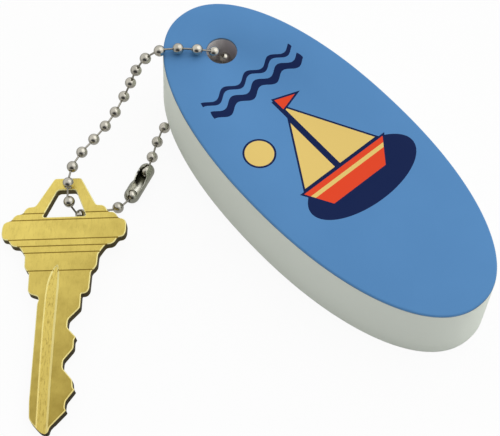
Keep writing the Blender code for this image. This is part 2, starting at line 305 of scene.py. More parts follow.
def roundedEdge(low, high, topRadius, topSteps, lowRadius=0.0, lowSteps=0):
    profile = []
    for step in range(lowSteps + 1):
        turn = math.pi / 2 * step / max(lowSteps, 1)
        inward = lowRadius * (1 - math.sin(turn))
        profile.append((inward, low + lowRadius * (1 - math.cos(turn))))
    for step in range(topSteps + 1):
        turn = math.pi / 2 * step / topSteps
        inward = topRadius * (1 - math.cos(turn))
        profile.append((inward, high - topRadius * (1 - math.sin(turn))))
    return profile


def makeOvalSolid(name, outerProfile, holeProfile, materials, slots):
    body = bmesh.new()
    outer = [ovalRing(body, inward, height) for inward, height in outerProfile]
    inner = [holeRing(body, outward, height) for outward, height in holeProfile]
    strips = (outer, [outer[-1], inner[0]], inner, [inner[-1], outer[0]])
    for rings, slot in zip(strips, slots):
        bridgeRings(body, rings, slot)
    solid = bodyObject(name, body, materials)
    shadeMesh(solid.data, floatSizes["sharpAngle"])
    return solid


foamFinish = {
    "colour": srgb(238, 244, 233),
    "darkest": 0.86,
    "roughness": 0.82,
    "gloss": 0.3,
    "cellScale": 4200.0,
    "grainScale": 900.0,
    "driftScale": 60.0,
    "grainShare": 0.10,
    "driftShare": 0.12,
    "cellHeight": 0.6,
    "bump": 0.00003,
}
boreFinish = {
    # The hole's wall: foam coloured lighter than the face foam as painted light, with painted
    # shade that deepens down the hole and a painted purple-grey shade on one side
    "colour": srgb(252, 248, 246),
    "shadedTone": srgb(150, 138, 154),
    "darkest": 0.6,
    "roughness": 0.6,
    "heights": (2.0, 14.0),  # mm above the underside, where the painted shade down the hole is darkest and where it ends
    # the side of the hole that gets the painted purple-grey shade
    "shadeWay": (0.85, 0.5, 0.0),
    "shadeReach": 2.4,  # mm to both sides of the hole's axis
    "shadeShare": 0.75,
    "streaks": (3.0, 3.0, 0.4),
    "streakTones": (0.94, 1.03),
    "grainScale": 6.0,
    "bump": 0.00004,
}


def foamMaterial():
    f = foamFinish
    material, tree, shader = makeMaterial("paleFoam", f["colour"], f["roughness"])
    shader.inputs["Specular IOR Level"].default_value = f["gloss"]
    place = objectPlace(tree)
    grain = noise(tree, place, f["grainScale"], 4.0)
    drift = calc(tree, "MULTIPLY", noise(tree, place, f["driftScale"], 2.0), f["driftShare"])
    shade = calc(tree, "MULTIPLY_ADD", grain, f["grainShare"], drift)
    colour = mixColour(tree, shade, f["colour"], darker(f["colour"], f["darkest"]))
    tree.links.new(colour, shader.inputs["Base Color"])
    cells = addNode(
        tree, "ShaderNodeTexVoronoi", {"feature": "F1"}, Vector=place, Scale=f["cellScale"]
    )
    height = calc(tree, "MULTIPLY_ADD", cells.outputs["Distance"], f["cellHeight"], grain)
    addBump(tree, shader, height, f["bump"], 0.5)
    return material


def boreMaterial():
    f = boreFinish
    material, tree, shader = makeMaterial("cutFoam", f["colour"], f["roughness"])
    place = objectPlace(tree, floatAt, mm)
    # painted shade, darker deeper down the hole
    lit = remap(tree, splitPlace(tree, place)[2], *f["heights"])
    colour = mixColour(tree, lit, darker(f["colour"], f["darkest"]), f["colour"])
    # painted purple-grey shade on one side of the hole, in its upper part
    facing = calcVector(tree, "DOT_PRODUCT", place, f["shadeWay"], output=1)
    sideShade = remap(tree, facing, -f["shadeReach"], f["shadeReach"], 0.0, f["shadeShare"])
    colour = mixColour(tree, calc(tree, "MULTIPLY", sideShade, lit), colour, f["shadedTone"])
    streaks = noise(tree, calcVector(tree, "MULTIPLY", place, f["streaks"]), 1.0, 3.0)
    tone = remap(tree, streaks, 0.3, 0.7, *f["streakTones"])
    tree.links.new(scaleVector(tree, colour, tone), shader.inputs["Base Color"])
    addBump(tree, shader, noise(tree, place, f["grainScale"], 4.0), f["bump"], 0.6)
    return material


def buildFoam():
    s = floatSizes
    top = s["thickness"] - s["sheet"] - s["glueGap"]
    outer = roundedEdge(0, top, s["foamTopEdge"], 2, s["cutEdge"], 4)
    rim, foot = s["boreRim"], s["boreFoot"]
    inner = [(rim, top), (0, top - rim), (0, foot), (foot, 0)]
    materials = [foamMaterial(), boreMaterial()]
    foam = makeOvalSolid("foamBody", outer, inner, materials, (0, 0, 1, 0))
    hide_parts("foam_body")
    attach(foam, "float")


buildFoam()
print("foam made")

# Print on the face: a small sailing boat on a dark sea, in millimetres from the motif's centre

printInk = {
    "blue": srgb(88, 142, 196),
    "navy": srgb(2, 28, 78),
    "cream": srgb(236, 205, 118),
    "orange": srgb(236, 72, 36),
}
motif = {
    "along": 32.0 * mm,  # from the hole's axis to the motif's centre
    "line": 0.42,
    "sun": ((-10.4, 8.2), (3.0, 3.0)),
    "sea": ((2.0, -9.0), (13.6, 6.4)),
    "mainSail": ((0.6, -3.8), (0.6, 13.4), (10.2, -3.8)),
    "jib": ((-0.8, -3.8), (-8.8, -3.8), (-0.8, 9.6)),
    "hull": ((-9.8, -4.6), (11.6, -4.6), (7.4, -10.0), (-6.6, -10.0)),
    "stripe": ((-9.8, -5.8), (11.6, -5.8), (11.6, -6.7), (-9.8, -6.7)),
    "mast": ((-0.5, -4.6), (-0.5, 15.8), (0.25, 15.8), (0.25, -4.6)),
    "pennant": ((0.3, 15.8), (0.3, 13.0), (4.6, 14.3)),
    "bands": ((20.4, 0.95), (23.6, 0.55)),  # height and half width of each wave band
    "bandRise": 0.75,
    "bandPeriod": 6.2,
    "bandShift": 1.2,
    "bandEnds": (12.0, 6.0),
}
sheetFinish = {
    "blues": (srgb(87, 141, 195), srgb(90, 144, 198)),
    "roughness": (0.46, 0.56),
    "gloss": 0.12,
    "mottleScale": 90.0,
    "grainScale": 3500.0,
    "bump": 0.00001,
    "faceUp": 0.3,  # faces that look up more than this are printed
}
edgeFinish = {
    "colour": srgb(122, 152, 178),
    "dark": srgb(44, 52, 62),
    "roughness": 0.6,
    "patchScale": 70.0,
    "patchRange": (0.48, 0.62),
    "grainScale": 1500.0,
    "bump": 0.00002,
}


def motifPlace(tree):
    middle = Matrix.Translation((motif["along"], 0, 0))
    reading = Matrix(((0, -1, 0), (1, 0, 0), (0, 0, 1))).to_4x4()
    return objectPlace(tree, floatAt @ middle @ reading, mm)


# Each of the next three gives a distance from an outline, less than 0 inside it
def polygonDistance(tree, flat, corners):
    pairs = list(zip(corners, corners[1:] + corners[:1]))
    turn = sum(a[0] * b[1] - b[0] * a[1] for a, b in pairs)
    distance = None
    for a, b in pairs:
        edge = Vector((b[0] - a[0], b[1] - a[1]))
        normal = Vector((edge.y, -edge.x)).normalized() * math.copysign(1, turn)
        offset = -(normal.x * a[0] + normal.y * a[1])
        plane = (normal.x, normal.y, offset)
        side = calcVector(tree, "DOT_PRODUCT", flat, plane, output=1)
        distance = side if distance is None else calc(tree, "MAXIMUM", distance, side)
    return distance


def ellipseDistance(tree, flat, centre, radii):
    moved = calcVector(tree, "SUBTRACT", flat, (*centre, 1.0))
    scaled = calcVector(tree, "DIVIDE", moved, (*radii, 1.0))
    length = calcVector(tree, "LENGTH", scaled, output=1)
    return calc(tree, "MULTIPLY", calc(tree, "SUBTRACT", length, 1.0), min(radii))


def bandDistance(tree, flat, height, halfWidth):
    x, y = splitPlace(tree, flat)[:2]
    phase = calc(tree, "MULTIPLY_ADD", x, 2 * math.pi / motif["bandPeriod"], motif["bandShift"])
    curve = calc(tree, "MULTIPLY", calc(tree, "SINE", phase), motif["bandRise"])
    level = calc(tree, "SUBTRACT", calc(tree, "SUBTRACT", y, curve), height)
    band = calc(tree, "SUBTRACT", calc(tree, "ABSOLUTE", level), halfWidth)
    ends = ellipseDistance(tree, flat, (0.0, height), motif["bandEnds"])
    return calc(tree, "MAXIMUM", band, ends)


def inked(tree, colour, distance, ink, grow=0.0):
    inside = calc(tree, "LESS_THAN", distance, grow)
    return mixColour(tree, inside, colour, printInk[ink])


def outlined(tree, colour, distance, ink):
    edged = inked(tree, colour, distance, "navy", motif["line"])
    return inked(tree, edged, distance, ink)


def paintMotif(tree, colour):
    x, y = splitPlace(tree, motifPlace(tree))[:2]
    flat = addNode(tree, "ShaderNodeCombineXYZ", None, X=x, Y=y, Z=1.0).outputs[0]
    colour = outlined(tree, colour, ellipseDistance(tree, flat, *motif["sun"]), "cream")
    colour = inked(tree, colour, ellipseDistance(tree, flat, *motif["sea"]), "navy")
    for name, ink in (("mainSail", "cream"), ("jib", "cream"), ("pennant", "orange")):
        colour = outlined(tree, colour, polygonDistance(tree, flat, motif[name]), ink)
    colour = inked(tree, colour, polygonDistance(tree, flat, motif["mast"]), "navy")
    hull = polygonDistance(tree, flat, motif["hull"])
    colour = outlined(tree, colour, hull, "orange")
    stripe = calc(tree, "MAXIMUM", hull, polygonDistance(tree, flat, motif["stripe"]))
    colour = inked(tree, colour, stripe, "cream")
    for height, halfWidth in motif["bands"]:
        colour = inked(tree, colour, bandDistance(tree, flat, height, halfWidth), "navy")
    return colour


def sheetMaterial():
    f = sheetFinish
    material, tree, shader = makeMaterial("printedSheet", printInk["blue"], f["roughness"][0])
    shader.inputs["Specular IOR Level"].default_value = f["gloss"]
    place = objectPlace(tree)
    mottle = remap(tree, noise(tree, place, f["mottleScale"], 3.0), 0.3, 0.7)
    base = mixColour(tree, mottle, *f["blues"])
    tree.links.new(paintMotif(tree, base), shader.inputs["Base Color"])
    tree.links.new(remap(tree, mottle, 0, 1, *f["roughness"]), shader.inputs["Roughness"])
    addBump(tree, shader, noise(tree, place, f["grainScale"], 3.0), f["bump"], 0.4)
    return material


def sheetEdgeMaterial():
    f = edgeFinish
    material, tree, shader = makeMaterial("sheetEdge", f["colour"], f["roughness"])
    place = objectPlace(tree)
    patches = remap(tree, noise(tree, place, f["patchScale"], 3.0), *f["patchRange"])
    colour = mixColour(tree, patches, f["colour"], f["dark"])
    tree.links.new(colour, shader.inputs["Base Color"])
    addBump(tree, shader, noise(tree, place, f["grainScale"]), f["bump"])
    return material


def buildSheet():
    s = floatSizes
    low, high = s["thickness"] - s["sheet"] + s["glueGap"], s["thickness"]
    edge = roundedEdge(low, high, s["softEdge"], 5)
    outer = [(s["setBack"] + inward, height) for inward, height in edge]
    inner = [(out * mm, high - down * mm) for out, down in s["holeLip"]] + [(0, low)]
    materials = [sheetMaterial(), sheetEdgeMaterial()]
    sheet = makeOvalSolid("printedSheet", outer, inner, materials, (1, 0, 1, 1))
    up = floatAt.to_3x3().col[2]
    for face in sheet.data.polygons:
        if face.normal.dot(up) > sheetFinish["faceUp"]:
            face.material_index = 0
    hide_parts("face_sheet")
    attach(sheet, "float")


buildSheet()
print("printed sheet made")

# Ball chain: beads where the frame's beads are, each with a pit at both ends for its links

chainSizes = {
    "bead": 2.4 * mm,
    "wire": 0.42 * mm,
    "pit": 0.15,  # shares of a bead's width: the pit's radius, then its wall as (radius, height)
    "pitWall": ((0.12, 0.36), (0.129, 0.45)),
    "sides": 28,
    "rows": 18,
    "linkSides": 12,
    "linkEnds": ((1.25, 0.5), (1.05, 0.38), (1, 0.3)),  # width, then place along the link
    "linkStart": 0.8,  # share of a bead's radius
    "sharpAngle": 50,
    "seed": 7,
}
nickelFinish = {
    "bright": ([0.62, 0.59, 0.51, 1.0], 0.16),
    # the links: a darker copy of the nickel, as painted shade
    "wire": ([0.38, 0.36, 0.31, 1.0], 0.26),
    "satin": ([0.43, 0.43, 0.355, 1.0], 0.26),
    # the coupling's cut edges: a lighter copy of the nickel, as a painted highlight
    "rim": ([0.66, 0.65, 0.57, 1.0], 0.3),
    "darkest": 0.82,
    "hazeScale": 800.0,
    "hazeShares": (0.7, 1.6),
    "patchScale": 350.0,
    "grainScale": 1400.0,
    "bump": 0.000008,
}
sphereFit = {"rounds": 60, "firstBand": 0.6, "narrowing": 0.9, "lastBand": 0.03}


# A bead's solid has its link on it, so its centre is found from the points on a sphere
def findCentre(node):
    f = sphereFit
    points = np.array([vertex.co for vertex in node.data.vertices])
    radius = chainSizes["bead"] / 2
    centre = np.median(points, axis=0)
    for step in range(f["rounds"]):
        away = points - centre
        reach = np.linalg.norm(away, axis=1)
        band = max(f["firstBand"] * radius * f["narrowing"] ** step, f["lastBand"] * radius)
        near = np.abs(reach - radius) < band
        centre = (points[near] - radius * away[near] / reach[near, None]).mean(axis=0)
    return Vector(centre)


def nickelMaterial(kind):
    f = nickelFinish
    colour, roughness = f[kind]
    material, tree, shader = makeMaterial(kind + "Nickel", colour, roughness, 1.0)
    place = objectPlace(tree)
    smooth, rough = (roughness * share for share in f["hazeShares"])
    haze = remap(tree, noise(tree, place, f["hazeScale"], 3.0), 0.35, 0.7, smooth, rough)
    tree.links.new(haze, shader.inputs["Roughness"])
    patches = remap(tree, noise(tree, place, f["patchScale"], 2.0), 0.4, 0.7)
    toned = mixColour(tree, patches, colour, darker(colour, f["darkest"]))
    tree.links.new(toned, shader.inputs["Base Color"])
    addBump(tree, shader, noise(tree, place, f["grainScale"], 2.0), f["bump"], 0.5)
    return material


def turnProfile(name, profile, sides):
    ways = [(math.cos(turn), math.sin(turn)) for turn in turnsRound(sides)]
    return cappedRings(name, [
        [(radius * x, radius * y, height) for x, y in ways] for radius, height in profile
    ])


# A bead of width 1, which the tree's Size scales
def beadShape():
    s = chainSizes
    start = math.asin(s["pit"] / 0.5)
    profile = [(radius, -height) for radius, height in s["pitWall"]]
    for step in range(s["rows"] + 1):
        turn = start + (math.pi - 2 * start) * step / s["rows"]
        profile.append((0.5 * math.sin(turn), -0.5 * math.cos(turn)))
    profile += reversed(s["pitWall"])
    return turnProfile("beadShape", profile, s["sides"])


def linkShape():
    thick, ends = chainSizes["wire"] / 2, chainSizes["linkEnds"]
    profile = [(thick * wide, -height) for wide, height in ends]
    profile += [(thick * wide, height) for wide, height in reversed(ends)]
    return turnProfile("linkShape", profile, chainSizes["linkSides"])


def pointCloud(name, places, axes, scales):
    mesh = bpy.data.meshes.new(name)
    mesh.from_pydata([tuple(place) for place in places], [], [])
    for label, values in (("pieceAxis", axes), ("pieceScale", scales)):
        attribute = mesh.attributes.new(label, "FLOAT_VECTOR", "POINT")
        attribute.data.foreach_set("vector", [part for value in values for part in value])
    return makeObject(name, mesh)


# Puts one piece on each point, along its axis, turned at random about it
def stringTree():
    tree = bpy.data.node_groups.new("stringPieces", "GeometryNodeTree")
    sockets = {
        "Geometry": "NodeSocketGeometry",
        "Piece": "NodeSocketObject",
        "Size": "NodeSocketFloat",
        "Seed": "NodeSocketInt",
        "Finish": "NodeSocketMaterial",
    }
    for label, kind in sockets.items():
        tree.interface.new_socket(label, in_out="INPUT", socket_type=kind)
    tree.interface.new_socket("Geometry", in_out="OUTPUT", socket_type="NodeSocketGeometry")
    given = tree.nodes.new("NodeGroupInput").outputs
    piece = addNode(tree, "GeometryNodeObjectInfo", None, Object=given["Piece"])
    vectors = {"data_type": "FLOAT_VECTOR"}
    axis, scale = (
        addNode(tree, "GeometryNodeInputNamedAttribute", vectors, Name=label).outputs[0]
        for label in ("pieceAxis", "pieceScale")
    )
    align = addNode(tree, "FunctionNodeAlignRotationToVector", {"axis": "Z"}, Vector=axis)
    spin = addNode(tree, "FunctionNodeRandomValue", {"data_type": "FLOAT"}, Seed=given["Seed"])
    spin.inputs[3].default_value = 2 * math.pi
    around = addNode(tree, "ShaderNodeCombineXYZ", None, Z=spin.outputs[1])
    euler = addNode(tree, "FunctionNodeEulerToRotation", None, Euler=around.outputs[0])
    turn = addNode(
        tree, "FunctionNodeRotateRotation", {"rotation_space": "LOCAL"},
        Rotation=align.outputs[0], Rotate_By=euler.outputs[0],
    )
    placed = addNode(
        tree, "GeometryNodeInstanceOnPoints", None,
        Points=given["Geometry"], Instance=piece.outputs["Geometry"],
        Rotation=turn.outputs[0], Scale=scaleVector(tree, scale, given["Size"]),
    )
    real = addNode(tree, "GeometryNodeRealizeInstances", None, Geometry=placed.outputs[0])
    paint = addNode(
        tree, "GeometryNodeSetMaterial", None,
        Geometry=real.outputs[0], Material=given["Finish"],
    )
    tree.links.new(paint.outputs[0], tree.nodes.new("NodeGroupOutput").inputs[0])
    return tree


def stringPieces(name, tree, shape, places, axes, scales, size, material):
    item = pointCloud(name, places, axes, scales)
    modifier = item.modifiers.new("pieces", "NODES")
    modifier.node_group = tree
    values = {"Piece": shape, "Size": size, "Seed": chainSizes["seed"], "Finish": material}
    for socket in tree.interface.items_tree:
        if socket.in_out == "INPUT" and socket.name in values:
            modifier[socket.identifier] = values[socket.name]
    finishMesh(item, name, chainSizes["sharpAngle"])
    removeObject(shape)
    return item


def buildChain():
    names = sorted(name for name in frame["nodes"] if name.startswith("bead_"))
    centres = [findCentre(frame["nodes"][name]) for name in names]
    closing = Vector(joints["coupling_swivel"]["axis"])
    axes = [closing * math.copysign(1, (centres[1] - centres[0]).dot(closing))]
    axes += [(after - before).normalized() for before, after in zip(centres, centres[2:])]
    axes.append(closing * math.copysign(1, (centres[-1] - centres[-2]).dot(closing)))
    tree = stringTree()
    ones = [(1, 1, 1)] * len(centres)
    bead, share = chainSizes["bead"], chainSizes["linkStart"]
    beads = stringPieces(
        "chainBeads", tree, beadShape(), centres, axes, ones, bead, nickelMaterial("bright")
    )
    starts = [centre + axis * (bead / 2) * share for centre, axis in zip(centres, axes)][:-1]
    ends = [centre - axis * (bead / 2) * share for centre, axis in zip(centres, axes)][1:]
    middles = [(a + b) / 2 for a, b in zip(starts, ends)]
    lines = [(b - a).normalized() for a, b in zip(starts, ends)]
    lengths = [(1, 1, (b - a).length) for a, b in zip(starts, ends)]
    links = stringPieces(
        "chainLinks", tree, linkShape(), middles, lines, lengths, 1.0, nickelMaterial("wire")
    )
    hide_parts(*names)
    for item in (beads, links):
        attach(item, "chain")
    bpy.data.node_groups.remove(tree)


buildChain()
print("chain made")

# Coupling: a folded shell, its two flaps meeting in a V at one end and cut low at the other

couplingSizes = {
    "length": 10.0 * mm,
    "radius": 1.65 * mm,
    "pinch": 0.19,  # share that the waist is pressed in, and half its length in mm
    "pinchReach": 0.75,
    "wall": 0.26 * mm,
    "slot": 0.36 * mm,
    "roll": math.radians(2.0),
    "endTurn": math.pi / 2 - 0.21,  # how far round each domed end curves in
    "endRows": 12,
    "rows": 96,
    "columns": 48,
    "lipEdge": 0.035 * mm,
    "lipAngle": 50,
    "sharpAngle": 45,
}
# The coupling's inside: painted light near the open end and painted shade toward the end where
# the flaps meet in a V
innerFinish = {
    "light": [0.84, 0.83, 0.74, 1.0],
    "dark": [0.17, 0.17, 0.12, 1.0],
    "roughness": 0.36,
    "darkens": (0.2, 1.5),  # mm along the coupling where the painted shade inside begins and where it is full
    "shadeEdgeScale": 0.9,
    "shadeEdgeShare": 0.9,
    "grainScale": 1.6,
    "bump": 0.000008,
}
# Each lip's place: millimetres along the coupling, then degrees round from its opening's middle
leftLip = (
    (-4.4, 13), (-3.6, 26), (-3.0, 31), (-0.7, 31), (0.1, 66), (0.7, 80), (1.6, 80), (2.5, 60),
    (3.4, 22), (4.4, 13),
)
rightLip = (
    (-4.4, 13), (-3.8, 30), (-3.2, 50), (-0.3, 54), (0.7, 46), (1.4, 42), (1.6, 30), (2.4, 9),
    (3.2, 6), (4.4, 13),
)


def couplingFrame():
    swivel = joints["coupling_swivel"]
    along = Vector(swivel["axis"]).normalized()
    side = Vector((0, 0, 1)).cross(along).normalized()
    up = along.cross(side)
    roll = couplingSizes["roll"]
    across = side * math.cos(roll) + up * math.sin(roll)
    turned = Matrix((along, across, along.cross(across))).transposed().to_4x4()
    return Matrix.Translation(swivel["pos_m"]) @ turned


def smoothStep(value, low, high):
    share = min(max((value - low) / (high - low), 0), 1)
    return 3 * share ** 2 - 2 * share ** 3


def lipAt(lip, x):
    x = min(max(x / mm, lip[0][0]), lip[-1][0])
    for (low, first), (high, last) in zip(lip, lip[1:]):
        if x <= high:
            return math.radians(first + (last - first) * smoothStep(x, low, high))


def wallPoint(x, turn, radius):
    s = couplingSizes
    pressed = s["pinch"] * math.exp(-((x / mm) / s["pinchReach"]) ** 2)
    radius *= 1 - pressed * max(0, math.sin(turn)) ** 2
    return (x, radius * math.sin(turn), radius * math.cos(turn))


def insideMaterial():
    f = innerFinish
    material, tree, shader = makeMaterial("innerNickel", f["light"], f["roughness"], 1.0)
    place = objectPlace(tree, couplingFrame(), mm)
    shadeEdge = noise(tree, place, f["shadeEdgeScale"], 3.0)
    # a noise makes the edge of the painted shade uneven
    along = calc(tree, "MULTIPLY_ADD", shadeEdge, f["shadeEdgeShare"], splitPlace(tree, place)[0])
    depth = remap(tree, along, *f["darkens"])
    tree.links.new(mixColour(tree, depth, f["light"], f["dark"]), shader.inputs["Base Color"])
    addBump(tree, shader, noise(tree, place, f["grainScale"], 2.0), f["bump"], 0.5)
    return material


# The places along the coupling where its wall is set out, with the radius at each
def couplingStations():
    s = couplingSizes
    half = s["length"] / 2 - s["radius"]
    domed = []
    for step in range(s["endRows"] + 1):
        turn = math.asin(s["slot"] / s["radius"]) + s["endTurn"] * step / s["endRows"]
        turn = min(turn, math.pi / 2)
        domed.append((-half - s["radius"] * math.cos(turn), s["radius"] * math.sin(turn)))
    rows = s["rows"]
    straight = [(-half + 2 * half * step / rows, s["radius"]) for step in range(1, rows)]
    return domed + straight + [(-x, radius) for x, radius in reversed(domed)]


def couplingWall(materials):
    s = couplingSizes
    body = bmesh.new()
    rows = []
    for x, radius in couplingStations():
        slot = math.asin(min(s["slot"] / radius, 0.97))
        left, right = max(lipAt(leftLip, x), slot), max(lipAt(rightLip, x), slot)
        wrap = 2 * math.pi - left - right
        turns = [left + wrap * step / s["columns"] for step in range(s["columns"] + 1)]
        rows.append(addRing(body, [wallPoint(x, turn, radius) for turn in turns]))
    for first, second in zip(rows, rows[1:]):
        for step in range(s["columns"]):
            body.faces.new((first[step], first[step + 1], second[step + 1], second[step]))
    return bodyObject("couplingShell", body, materials)


def buildCoupling():
    s = couplingSizes
    shell = couplingWall([nickelMaterial("satin"), insideMaterial(), nickelMaterial("rim")])
    outward = sum(
        face.normal.dot(Vector((0, face.center.y, face.center.z))) for face in shell.data.polygons
    )
    wall = shell.modifiers.new("wall", "SOLIDIFY")
    wall.thickness = s["wall"]
    wall.offset = -math.copysign(1, outward)
    wall.use_even_offset = True
    wall.material_offset = 1
    wall.material_offset_rim = 2
    lips = shell.modifiers.new("lips", "BEVEL")
    lips.width = s["lipEdge"]
    lips.segments = 2
    lips.limit_method = "ANGLE"
    lips.angle_limit = math.radians(s["lipAngle"])
    finishMesh(shell, "couplingShell", s["sharpAngle"])
    shell.data.transform(couplingFrame())
    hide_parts("coupling")
    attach(shell, "coupling")


buildCoupling()
print("coupling made")

# Key: seen with the bow at x = 0 and the blade along +x, in millimetres

keySizes = {
    "thickness": 2.0,
    "bar": 3.1,  # from the end of the bow to the chain
    "edge": 0.19,
    "outlineRound": 0.45,
    "windowRound": 0.6,
    "fluteRound": 0.8,
    "fluteDepth": 0.3,
    "fluteShift": 1.0,  # from the front groove to the back one
    "lineDepth": 0.1,
    "lineWidth": 0.26,
    "lineReach": 14,
    "overcut": 0.01,
    "cornerShare": 0.4,  # the most of a side that a rounding takes
    "bevelAngle": 60,
    "edgeAngle": 30,
    "sharpAngle": 15,
}
keyHead = (
    (0, 2.8), (6.5, 6.4), (6.6, 7.8), (7.05, 8.4), (8.2, 9.0), (8.3, 10.1), (8.75, 10.7),
    (9.75, 11.3), (9.9, 12.15), (10.4, 12.8), (11.3, 13.0), (12.9, 13.0), (13.7, 12.75),
    (14.1, 12.3), (14.25, 11.4), (15.4, 10.7), (15.75, 10.1), (15.85, 8.95), (17.4, 7.95),
    (18.0, 7.6), (20.5, 7.5), (21.2, 7.1), (21.5, 6.75), (22.0, 6.4), (25.8, 6.3), (26.5, 5.95),
    (26.8, 5.35),
)
keyCuts = (
    (26.8, 4.75), (29.95, 4.75), (32.45, 2.5), (34.2, 2.45), (36.35, 4.4), (36.9, 4.05),
    (38.8, 4.1), (41.35, 2.2), (43.0, 2.2), (45.5, 4.35), (47.2, 4.6), (47.6, 5.0),
    (50.0, 3.35), (51.4, 3.3), (51.9, 3.65), (55.4, 0.6), (56.4, 0.4), (56.7, -0.2),
    (56.4, -1.0), (55.5, -2.0), (54.2, -3.15), (53.4, -3.62), (50.0, -3.9), (28.8, -4.1),
    (27.8, -3.85), (27.2, -4.15),
)
keyOutline = keyHead + keyCuts + tuple((x, -y) for x, y in reversed(keyHead))
keyWindow = ((2.8, 1.85), (9.1, 4.5), (9.1, -4.7), (2.8, -1.95))
keyFlute = (
    (19.9, -0.5), (20.9, -1.4), (22.4, -2.0), (24.3, -2.45), (27.0, -2.62), (34.0, -2.64),
    (45.0, -2.42), (58.0, -2.05), (58.0, 0.45), (47.0, 0.18), (35.0, 0.05), (24.5, 0.08),
    (21.8, -0.08),
)
keyFluteFloor = (
    (20.4, -0.75), (21.2, -1.25), (22.6, -1.76), (24.4, -2.2), (27.0, -2.38), (34.0, -2.4),
    (45.0, -2.18), (58.0, -1.8), (58.0, -0.05), (47.0, -0.34), (35.0, -0.48), (24.5, -0.44),
    (22.2, -0.5),
)
keyLines = (8.2, 9.75, 14.29, 15.84, 17.39, 21.5)


def roundCorners(corners, radius, steps=3):
    smooth = []
    count, most = len(corners), keySizes["cornerShare"]
    for number in range(count):
        corner = Vector(corners[number])
        before = Vector(corners[number - 1]) - corner
        after = Vector(corners[(number + 1) % count]) - corner
        reach = min(radius, before.length * most, after.length * most)
        first = corner + before.normalized() * reach
        last = corner + after.normalized() * reach
        for step in range(steps + 1):
            share = step / steps
            smooth.append(
                first * (1 - share) ** 2 + corner * 2 * share * (1 - share) + last * share ** 2
            )
    return [(point.x, point.y) for point in smooth]


def prism(name, corners, low, high, rounding, steps=3, lowCorners=None):
    outlines = []
    for height, outline in ((low, lowCorners or corners), (high, corners)):
        smooth = roundCorners(outline, rounding, steps)
        outlines.append([(x * mm, y * mm, height * mm) for x, y in smooth])
    return cappedRings(name, outlines)


def grooveCutter(x):
    s = keySizes
    top, depth, width, reach = s["thickness"], s["lineDepth"], s["lineWidth"], s["lineReach"]
    shape = ((x - width, top + depth), (x, top - depth), (x + width, top + depth))
    return cappedRings("groove", [
        [(px * mm, y * mm, pz * mm) for px, pz in shape] for y in (-reach, reach)
    ])


def keyFrame():
    swing = joints["key_swing"]
    across = -Vector(swing["axis"]).normalized()
    faces = frame["nodes"]["door_key"].data.polygons
    flat = max(faces, key=lambda face: face.area).normal.copy()
    up = flat * math.copysign(1, flat.z)
    along = across.cross(up).normalized()
    turned = Matrix((along, across, along.cross(across))).transposed().to_4x4()
    start = Vector(swing["pos_m"]) - along * keySizes["bar"] * mm
    return Matrix.Translation(start) @ turned


keyAt = keyFrame()
brassFinishes = {
    "satinBrass": {
        "colour": srgb(240, 218, 118), "dark": srgb(152, 130, 56), "roughness": 0.36,
    },
    # the edge bevels: worn polish with a painted highlight, lighter than the face
    "brightBrass": {
        "colour": srgb(255, 247, 178), "dark": srgb(240, 220, 134), "roughness": 0.4,
        "metallic": 0.4, "speckle": 0.1,
    },
    # the key's upright sides, coloured darker as painted shade
    "sideBrass": {
        "colour": srgb(104, 92, 52), "dark": srgb(60, 52, 32), "roughness": 0.45,
    },
    "milledBrass": {
        "colour": srgb(238, 216, 118), "dark": srgb(150, 124, 52), "roughness": 0.34,
        "speckle": 0.8, "darkShare": 0.3,
    },
    # the walls of the grooves, coloured darker than the face
    "lineBrass": {
        "colour": srgb(206, 180, 88), "dark": srgb(156, 132, 58), "roughness": 0.45,
    },
}
brassTexture = {
    "way": (0.016, 0.016, 0.0),  # the brass darkens this much with each millimetre
    "range": (0.35, 1.3),
    "patchScale": 0.3,
    "patchShare": 0.7,
    "drawn": (0.45, 1.6, 1.0),
    "speckScale": 1.8,
    "speckRange": (0.5, 0.72),
    "grain": (0.5, 14.0, 3.0),
    "dull": (0.1, 0.08),  # roughness that the patches and the grain add
    "pockScale": 5.0,
    "bump": 0.00002,
}
keyFaces = {
    "flat": 0.97,  # how level a face is, from 0 upright to 1
    "lineFlat": 0.98,
    "upright": 0.25,
    "lineHalf": 0.16,
    "lineDeep": 0.12,  # millimetres below the face
    "lineHigh": 0.02,
    "milled": 0.1,
}


def brassMaterial(name, colour, dark, roughness, metallic=1.0, speckle=0.25, darkShare=0.85):
    f = brassTexture
    material, tree, shader = makeMaterial(name, colour, roughness, metallic)
    place = objectPlace(tree, keyAt, mm)
    # the colour darkens steadily in one direction across the key, and in random patches
    darkening = calcVector(tree, "DOT_PRODUCT", place, f["way"], output=1)
    patches = noise(tree, place, f["patchScale"], 4.0, 0.55)
    darkening = calc(tree, "MULTIPLY_ADD", patches, f["patchShare"], darkening)
    toned = mixColour(tree, remap(tree, darkening, *f["range"], 0.0, darkShare), colour, dark)
    drawn = calcVector(tree, "MULTIPLY", place, f["drawn"])
    specks = remap(tree, noise(tree, drawn, f["speckScale"], 4.0, 0.7), *f["speckRange"])
    spotted = mixColour(tree, calc(tree, "MULTIPLY", specks, speckle), toned, dark)
    tree.links.new(spotted, shader.inputs["Base Color"])
    grain = noise(tree, calcVector(tree, "MULTIPLY", place, f["grain"]), 1.0, 3.0)
    dull = calc(tree, "MULTIPLY_ADD", patches, f["dull"][0], roughness)
    dull = calc(tree, "MULTIPLY_ADD", grain, f["dull"][1], dull)
    tree.links.new(dull, shader.inputs["Roughness"])
    pocks = noise(tree, place, f["pockScale"], 4.0)
    addBump(tree, shader, calc(tree, "MULTIPLY_ADD", grain, 0.5, pocks), f["bump"], 0.5)
    return material


def subtract(key, cutters):
    for cutter in cutters:
        modifier = key.modifiers.new(cutter.name, "BOOLEAN")
        modifier.operation = "DIFFERENCE"
        modifier.object = cutter
    finishMesh(key, "doorKey", keySizes["sharpAngle"])
    for cutter in cutters:
        removeObject(cutter)


